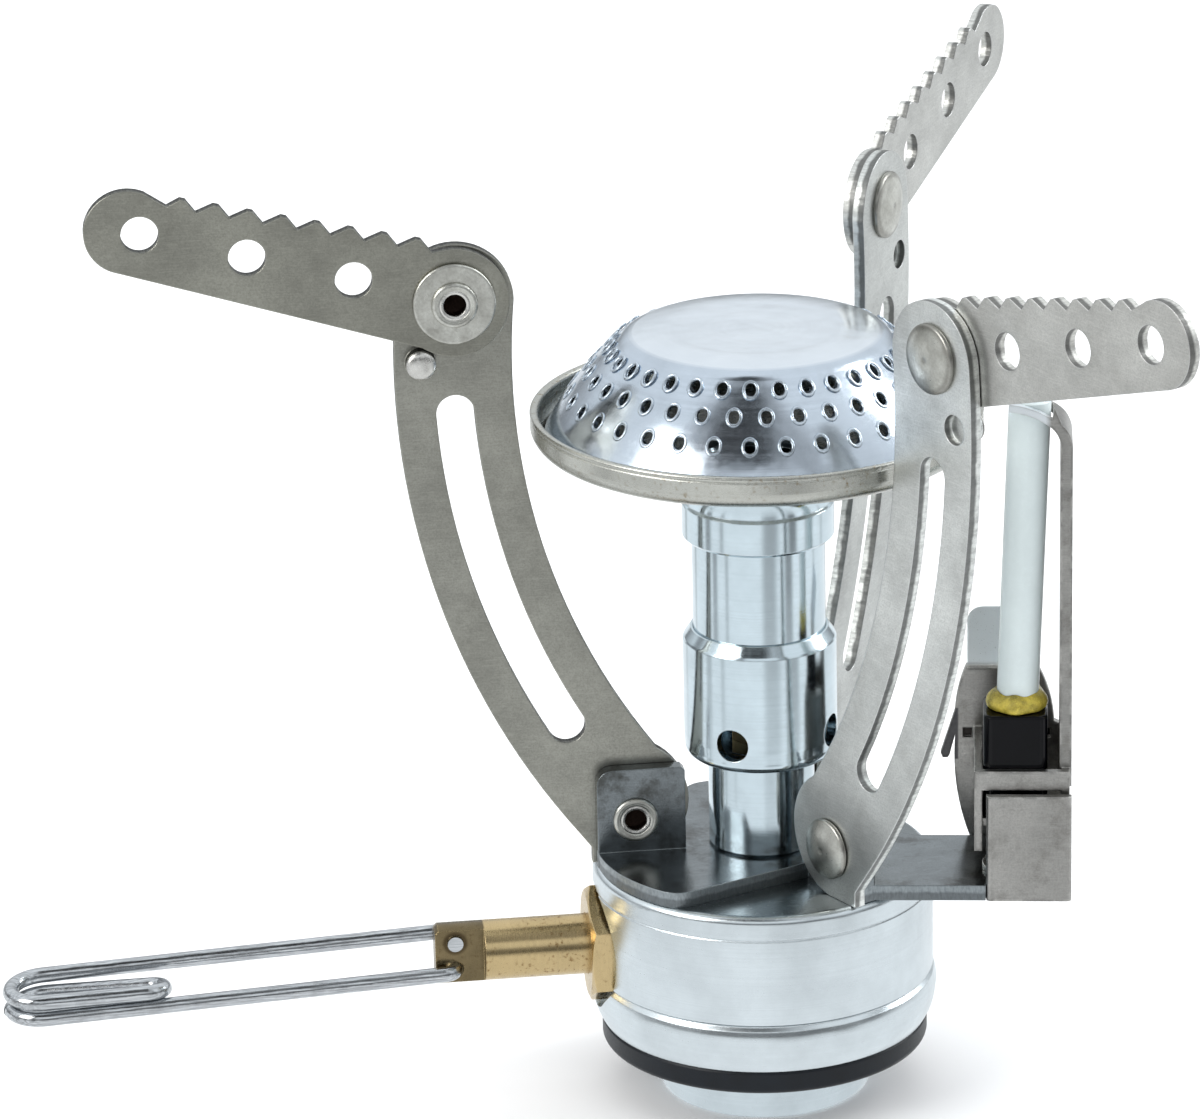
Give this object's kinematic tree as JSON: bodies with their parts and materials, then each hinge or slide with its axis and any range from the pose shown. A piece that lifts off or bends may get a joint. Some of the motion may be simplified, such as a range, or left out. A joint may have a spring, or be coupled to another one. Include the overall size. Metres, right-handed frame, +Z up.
{
  "type": "canister stove",
  "caption": "Folding pot-arm camping stove that screws on a gas canister, with a wire-handled brass valve spindle and a push igniter.",
  "frame": {"origin": "centre of the canister thread's mouth, at the nose's bottom face", "axes": "+Z up along the burner's axis, -X along the control spindle and the first pot arm, +X towards the igniter"},
  "size_m": [0.1129, 0.1144, 0.0988],
  "materials": {
    "aluminium": "satin",
    "chrome": "polished plating",
    "steel_sheet": "tumbled satin",
    "dark_sheet": "gunmetal plating",
    "pan_steel": "brushed",
    "wire_steel": "bright drawn",
    "rivet_steel": "satin",
    "brass": "turned",
    "rubber": "matt",
    "black_plastic": "gloss",
    "potting": "glossy",
    "ceramic": "glazed",
    "sintered": "rough"
  },
  "bodies": {
    "stove": {"valve_body": "aluminium", "thread_collar": "aluminium", "base_ring": "rubber", "inlet_gasket": "rubber", "depressor_pin": "brass", "inlet_filter": "sintered", "gland_nut": "brass", "jet_holder": "chrome", "jet": "brass", "mixing_sleeve": "chrome", "burner_tube": "chrome", "tube_collar": "chrome", "burner_pan": "pan_steel", "burner_cap": "chrome", "base_bracket": "dark_sheet", "igniter_housing": "dark_sheet", "piezo_plunger": "rivet_steel", "return_spring": "wire_steel", "base_rivet_1": "rivet_steel", "base_rivet_2": "rivet_steel", "base_rivet_3": "rivet_steel"},
    "lower_arm_1": {"lower_arm_1": "steel_sheet", "pivot_rivet_1": "rivet_steel", "pivot_washer_1": "rivet_steel"},
    "toothed_arm_1": {"toothed_arm_1": "steel_sheet"},
    "lower_arm_2": {"lower_arm_2": "steel_sheet", "pivot_rivet_2": "rivet_steel", "pivot_washer_2": "rivet_steel"},
    "toothed_arm_2": {"toothed_arm_2": "steel_sheet"},
    "lower_arm_3": {"lower_arm_3": "steel_sheet", "pivot_rivet_3": "rivet_steel", "pivot_washer_3": "rivet_steel"},
    "toothed_arm_3": {"toothed_arm_3": "steel_sheet"},
    "needle": {"needle": "rivet_steel"},
    "control": {"spindle": "brass", "handle_wire": "wire_steel", "spindle_seal": "rubber"},
    "igniter": {"igniter_saddle": "dark_sheet", "piezo_module": "black_plastic", "potting_ring": "potting", "ceramic_tube": "ceramic", "electrode": "wire_steel"}
  },
  "joints": [
    {"name": "arm_1_rock", "type": "hinge", "parent": "stove", "child": "lower_arm_1", "pos_m": [-0.0131, 0, 0.03], "axis": [0, 1, 0], "range_deg": [0, 1.5]},
    {"name": "arm_1_fold", "type": "hinge", "parent": "lower_arm_1", "child": "toothed_arm_1", "pos_m": [-0.03, 0, 0.0857], "axis": [0, 1, 0], "range_deg": [0, 162]},
    {"name": "arm_2_rock", "type": "hinge", "parent": "stove", "child": "lower_arm_2", "pos_m": [0.00631, -0.01148, 0.03], "axis": [-0.8763, -0.4818, 0], "range_deg": [0, 1.5]},
    {"name": "arm_2_fold", "type": "hinge", "parent": "lower_arm_2", "child": "toothed_arm_2", "pos_m": [0.01445, -0.02629, 0.0857], "axis": [-0.8763, -0.4818, 0], "range_deg": [0, 143]},
    {"name": "arm_3_rock", "type": "hinge", "parent": "stove", "child": "lower_arm_3", "pos_m": [0.00692, 0.01112, 0.03], "axis": [0.849, -0.5284, 0], "range_deg": [0, 1.5]},
    {"name": "arm_3_fold", "type": "hinge", "parent": "lower_arm_3", "child": "toothed_arm_3", "pos_m": [0.01585, 0.02547, 0.0857], "axis": [0.849, -0.5284, 0], "range_deg": [0, 125]},
    {"name": "needle_feed", "type": "slide", "parent": "stove", "child": "needle", "axis": [-1, 0, 0], "range_m": [0, 0.00187]},
    {"name": "spindle_turn", "type": "hinge", "parent": "needle", "child": "control", "pos_m": [-0.025, 0, 0.0162], "axis": [-1, 0, 0], "range_deg": [0, 900]},
    {"name": "igniter_press", "type": "slide", "parent": "stove", "child": "igniter", "axis": [0, 0, -1], "range_m": [0, 0.0032], "stiffness_N_per_m": 900, "springref_m": -0.003, "deforming": ["return_spring"]}
  ],
  "couplings": [
    {"joint": "spindle_turn", "follows": "needle_feed", "rad_per_m": 8377.6}
  ]
}
